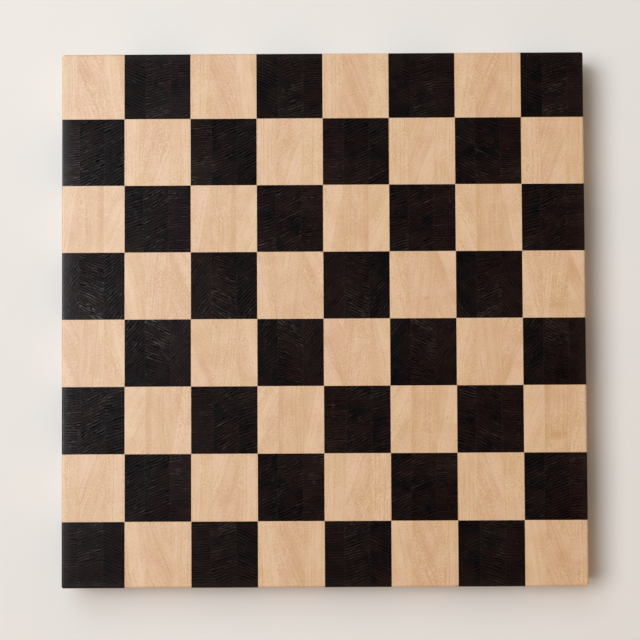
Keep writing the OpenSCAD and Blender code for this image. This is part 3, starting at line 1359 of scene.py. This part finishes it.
def model_screw():
    screw = start_piece("screw_model")
    bpy.ops.object.mode_set(mode="EDIT")
    rings = dome_profile() + [
        (HEAD_R_MM, HEAD_MM[2]), (CREST_R_MM, HEAD_MM[2]),
        (CREST_R_MM, THREAD_START_MM - RUN_OUT_MM), (CORE_R_MM, THREAD_START_MM),
        (CORE_R_MM, TIP_START_MM - RUN_OUT_MM), (TIP_R_MM, TIP_MM),
    ]
    draw_rings(rings)
    for radius, height in (rings[0], rings[-1]):
        select_ring(screw, radius, height)
        bpy.ops.mesh.edge_face_add()
    close_shape()
    bpy.ops.object.mode_set(mode="OBJECT")
    for turn_deg in (0, 90):
        cut_with(screw, recess_arm(turn_deg))
    screw = join([screw, thread])
    finish_normals(screw)
    return screw


screw_model = model_screw()
print("screw:", len(screw_model.data.polygons), "faces")

# %% [markdown]
# ## Rubber and steel
#
# The feet are plain black rubber. Moulded rubber is neither flat nor even: it has a fine grain, and
# it gathers dust where it meets the table. One group gives both, because both read the same place.

# %% Mix the rubber
GRAIN_LUMP_MM = 0.6
GRAIN_DEPTH_MM = 0.03
DUST_HEIGHT_MM = 1.2
DUST_PATCH_MM = 2
RUBBER_BLACK = colour(27, 27, 28)
RUBBER_DUSTY = colour(96, 92, 86)


def lumps_of(size_mm):
    return (size_mm*MM, size_mm*MM, size_mm*MM)


def rubber_grain_group():
    group, given, wanted = start_group(
        "moulded_grain", [("Place", VECTOR, None)], [("Height", FLOAT), ("Dust", FLOAT)],
    )
    feed(group, wanted["Height"], noise(group, given["Place"], lumps_of(GRAIN_LUMP_MM), 1.0))
    low = fade(group, split(group, given["Place"])["Z"], DUST_HEIGHT_MM*MM, 0.0)
    patchy = fade(group, noise(group, given["Place"], lumps_of(DUST_PATCH_MM), 5.0), -0.4, 0.8)
    feed(group, wanted["Dust"], calc(group, "MULTIPLY", low, patchy))
    return group


def foot_rubber():
    material, tree, shader = new_material("foot_rubber")
    grain = use_group(tree, rubber_grain_group(), Place=object_place(tree))
    dust = calc(tree, "MULTIPLY", grain["Dust"], 0.5)
    shown = blend_colours(tree, dust, RUBBER_BLACK, RUBBER_DUSTY)
    feed(tree, shader.inputs["Base Color"], shown)
    feed(tree, shader.inputs["Roughness"], total(tree, 0.7, (grain["Height"], 0.06), (dust, 0.2)))
    add_bump(tree, shader, grain["Height"], GRAIN_DEPTH_MM*MM)
    return material


RUBBER = foot_rubber()
print("material:", RUBBER.name)

# %% [markdown]
# The washers and screws are zinc plated steel: bright, with a faint mottle that changes the colour
# and the shine together.

# %% Mix the steel
MOTTLE_MM = 1.2
ZINC_BRIGHT = colour(196, 198, 200)
ZINC_DULL = colour(176, 178, 182)


def zinc_mottle_group():
    group, given, wanted = start_group(
        "zinc_mottle", [("Place", VECTOR, None)], [("Amount", FLOAT)],
    )
    feed(group, wanted["Amount"], noise(group, given["Place"], lumps_of(MOTTLE_MM), 9.0))
    return group


def fixing_steel():
    material, tree, shader = new_material("fixing_steel")
    mottle = use_group(tree, zinc_mottle_group(), Place=object_place(tree))["Amount"]
    shown = blend_colours(tree, total(tree, 0.5, (mottle, 0.5)), ZINC_BRIGHT, ZINC_DULL)
    feed(tree, shader.inputs["Base Color"], shown)
    feed(tree, shader.inputs["Roughness"], total(tree, 0.34, (mottle, 0.06)))
    shader.inputs["Metallic"].default_value = 1.0
    return material


STEEL = fixing_steel()
print("material:", STEEL.name)

# %% [markdown]
# ## Fitting the feet
#
# One of each part stands under the middle of the board. Each is copied to the four corner squares
# with a mesh of its own, and the first one is removed. The move is made in edit mode, so that the
# objects themselves stay at the origin, like the frame's.

# %% Copy the parts to the corners
CORNERS = {
    "front_left": (-1, -1),
    "front_right": (1, -1),
    "back_left": (-1, 1),
    "back_right": (1, 1),
}


def copies_at_corners(model, name):
    copies = []
    for corner, (x_side, y_side) in CORNERS.items():
        deselect_all()
        bpy.context.view_layer.objects.active = model
        model.select_set(True)
        bpy.ops.object.duplicate(linked=False)
        copy = bpy.context.object
        copy.name = name + corner
        bpy.ops.object.mode_set(mode="EDIT")
        bpy.ops.mesh.select_all(action="SELECT")
        bpy.ops.transform.translate(value=(x_side*FOOT_MIDDLE.x, y_side*FOOT_MIDDLE.y, 0))
        bpy.ops.object.mode_set(mode="OBJECT")
        copies.append(copy)
    bpy.data.objects.remove(model)
    return copies


feet = copies_at_corners(foot_model, "rubber_foot_")
washers = join(copies_at_corners(washer_model, "washer_"))
screws = join(copies_at_corners(screw_model, "screw_"))
washers.name = "foot_washers_plated"
screws.name = "foot_screws_plated"
print("feet:", [foot.name for foot in feet])

# %% [markdown]
# Last, each piece gets its material and its body, and the node of the frame that it stands for is
# hidden. The washers share one node in the frame, and so do the screws.

# %% Fit the feet
def fit(pieces, material, nodes):
    """Gives the pieces their material and body, and hides the nodes that they stand for."""
    for piece in pieces:
        piece.data.materials.append(material)
        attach(piece, "root")
    for piece, node in nodes:
        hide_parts(node)


fit(feet, RUBBER, zip(feet, ["foot_" + corner for corner in CORNERS]))
fit([washers, screws], STEEL, [(washers, "foot_washers"), (screws, "foot_screws")])
print("feet:", len(feet), "screw faces:", len(screws.data.polygons))
